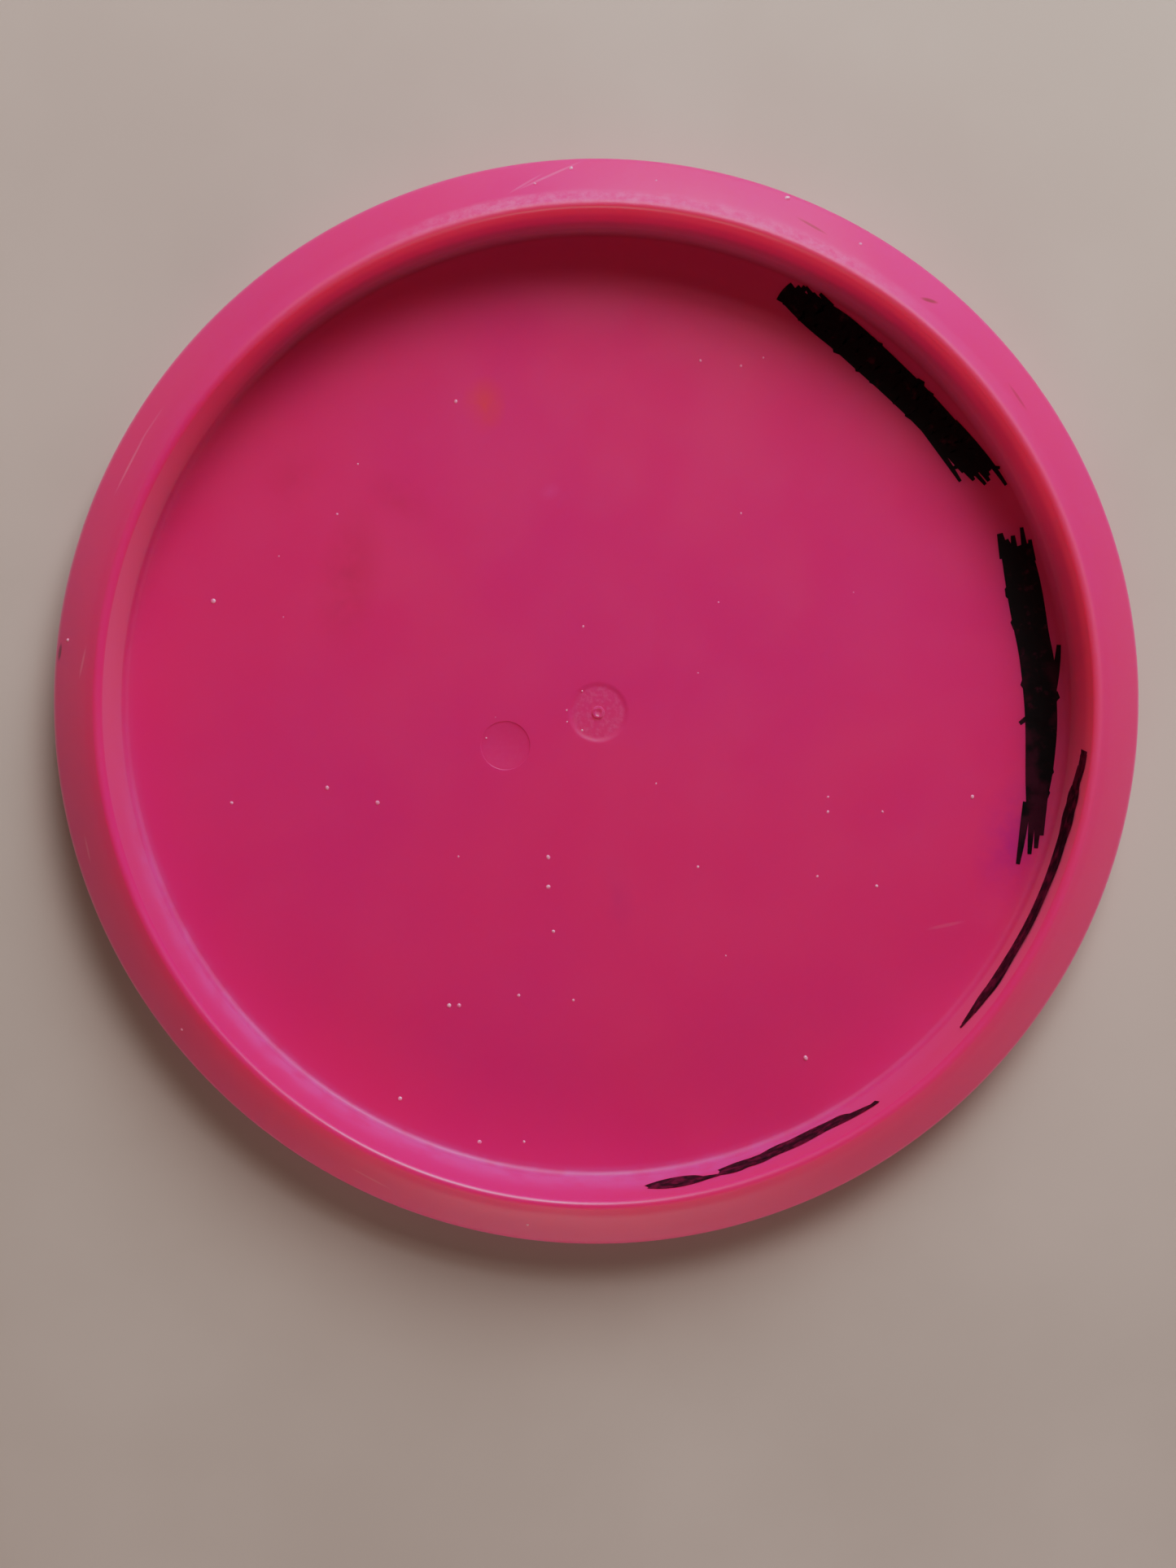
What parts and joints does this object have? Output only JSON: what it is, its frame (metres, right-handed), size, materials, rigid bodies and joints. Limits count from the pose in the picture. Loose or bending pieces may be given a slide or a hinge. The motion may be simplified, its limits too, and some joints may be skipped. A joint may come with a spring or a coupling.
{
  "type": "golf disc",
  "caption": "Round one-piece flying disc with a flat flight plate, a deep hollow and a thick rounded rim, lying hollow side up, with blocked-out marker writing in the hollow.",
  "frame": {"origin": "on the disc's axis, at the outer face of the flight plate, which the disc rests on", "axes": "+Z along the disc's axis out of the hollow; +Y towards the part of the rim that was uppermost in the picture; +X square to it, towards the blocked-out number by the rim"},
  "size_m": [0.212, 0.212, 0.0183],
  "materials": {
    "disc_plastic": "hot pink moulded plastic, satin, slightly see-through at the rim",
    "marker_ink": "dried black permanent marker, maroon where thin"
  },
  "bodies": {
    "root": {"disc_moulding": "disc_plastic", "name_blackout_ink": "marker_ink", "number_blackout_ink": "marker_ink", "wall_blackout_right": "marker_ink", "wall_blackout_lower": "marker_ink"}
  },
  "joints": []
}
